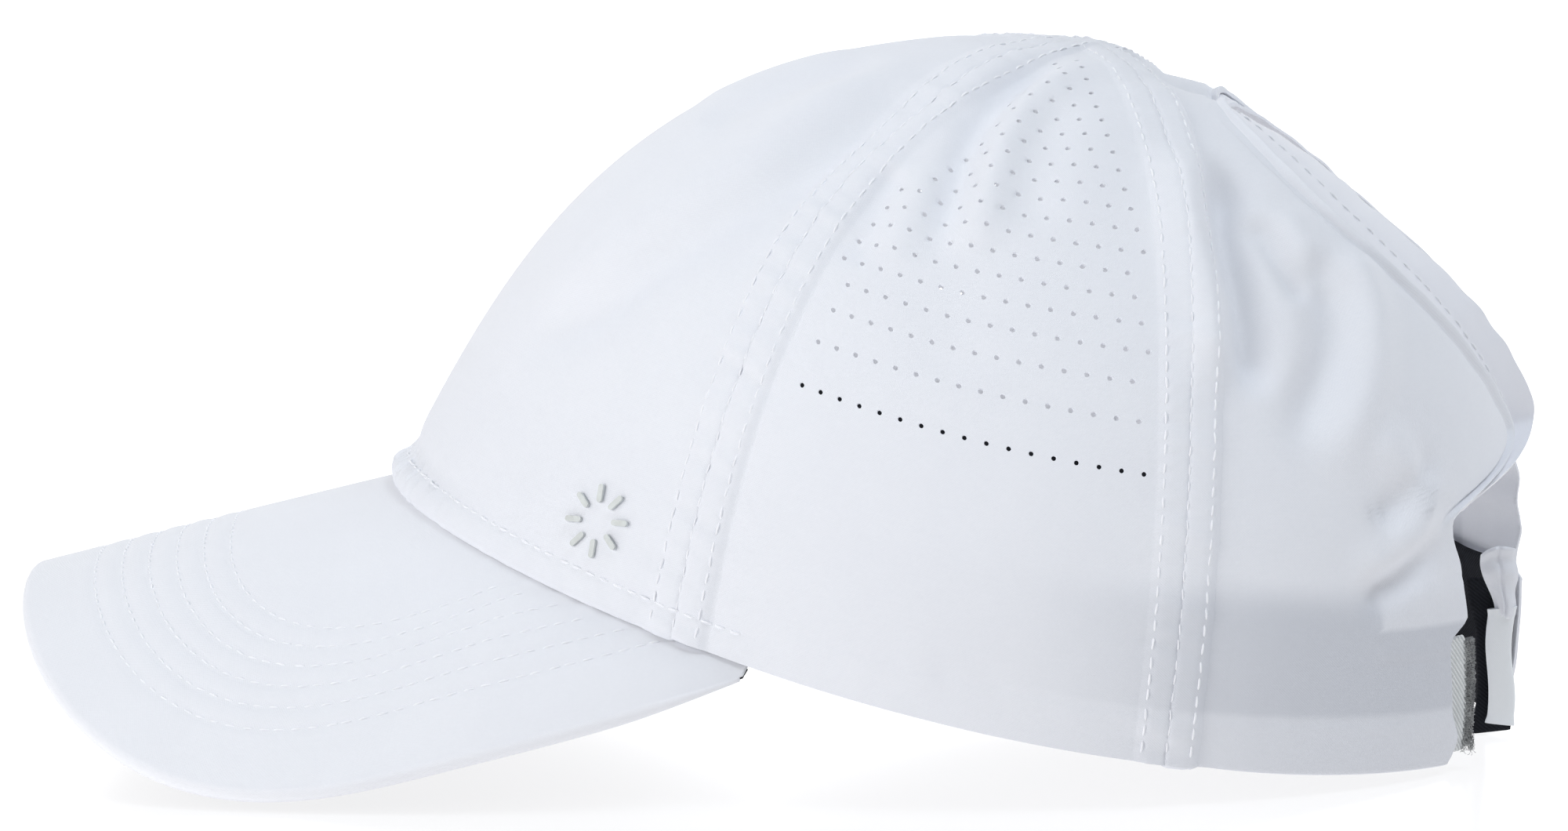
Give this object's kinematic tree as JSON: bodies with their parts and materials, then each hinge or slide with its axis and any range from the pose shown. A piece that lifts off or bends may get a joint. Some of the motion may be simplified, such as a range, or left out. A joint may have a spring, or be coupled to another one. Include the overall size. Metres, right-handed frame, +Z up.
{
  "type": "running cap",
  "caption": "Lightweight panelled running cap with an arched bill, perforated sides, a tall ponytail opening and an open hook-and-loop closure.",
  "frame": {"origin": "bottom centre of the bounding box, on the surface the cap stands on", "axes": "+Z up, -Y the front (bill), +X the wearer's left"},
  "size_m": [0.1662, 0.2673, 0.1239],
  "materials": {
    "panel_cloth": "light plain-woven sports cloth",
    "binding_cloth": "smooth folded binding",
    "black_cloth": "matt knitted cloth",
    "pad_cloth": "thin soft pad",
    "label_cloth": "satin label",
    "bill_board": "flexible moulded board",
    "badge": "satin grey transfer",
    "closure_tape": "diagonal twill",
    "loop_pile": "fuzzy loop pile",
    "hook_patch": "fine moulded hooks"
  },
  "bodies": {
    "cap": {"front_panel": "panel_cloth", "side_panel_left": "panel_cloth", "side_panel_right": "panel_cloth", "back_panel_left": "panel_cloth", "back_panel_right": "panel_cloth", "front_seam_tape_left": "binding_cloth", "front_seam_tape_right": "binding_cloth", "back_seam_tape_left": "binding_cloth", "back_seam_tape_right": "binding_cloth", "opening_band_left": "binding_cloth", "opening_band_right": "binding_cloth", "rim_facing_left": "binding_cloth", "rim_facing_right": "binding_cloth", "bill_seam_tape": "binding_cloth", "bill_top_cover": "panel_cloth", "bill_board": "bill_board", "bill_undervisor": "black_cloth", "sweatband": "black_cloth", "forehead_pad": "pad_cloth", "care_label": "label_cloth", "front_badge": "badge", "closure_patch_left": "panel_cloth", "closure_patch_right": "panel_cloth"},
    "left_closure": {"closure_tape_left": "closure_tape", "loop_pile_left": "loop_pile"},
    "right_closure": {"closure_strap_right": "panel_cloth", "hook_patch_right": "hook_patch", "end_binding_right": "binding_cloth"}
  },
  "joints": [
    {"name": "left_closure_fold", "type": "hinge", "parent": "cap", "child": "left_closure", "pos_m": [0.04347, 0.11722, 0.01157], "axis": [0.0753, 0.1062, 0.9915], "range_deg": [-90, 30]},
    {"name": "right_closure_fold", "type": "hinge", "parent": "cap", "child": "right_closure", "pos_m": [-0.01388, 0.12988, 0.01436], "axis": [-0.0191, 0.0974, 0.9951], "range_deg": [-30, 90]}
  ]
}
